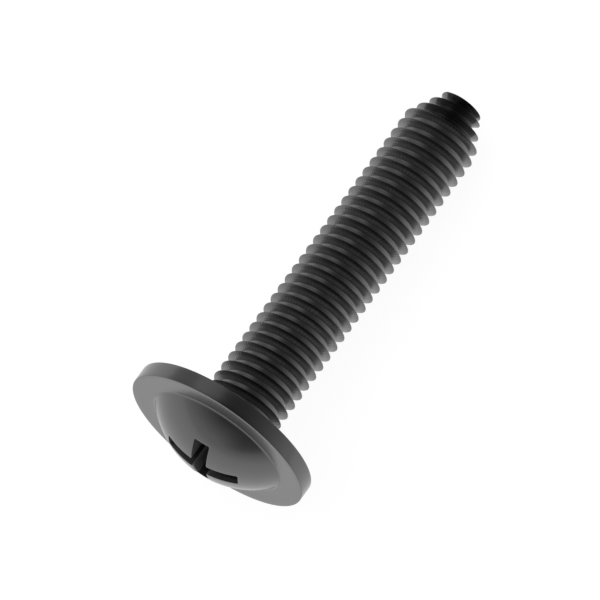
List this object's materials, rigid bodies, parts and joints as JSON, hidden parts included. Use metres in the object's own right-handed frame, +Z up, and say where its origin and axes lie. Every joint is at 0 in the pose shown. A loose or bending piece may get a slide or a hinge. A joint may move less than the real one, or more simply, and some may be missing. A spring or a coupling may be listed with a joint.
{
  "type": "self-tapping screw",
  "caption": "Self-tapping screw with a domed head on a wide round collar, a cross recess, a right-hand machine thread up to the neck and a short tapered lead.",
  "frame": {"origin": "on the ground plane, under the middle of the lying screw's bounding box", "axes": "+Z up, +X from the head to the tip along the ground, +Y to the left of that"},
  "size_m": [0.0334, 0.0144, 0.0144],
  "materials": {
    "black_finish": "satin black on steel"
  },
  "bodies": {
    "root": {"screw": "black_finish"}
  },
  "joints": []
}
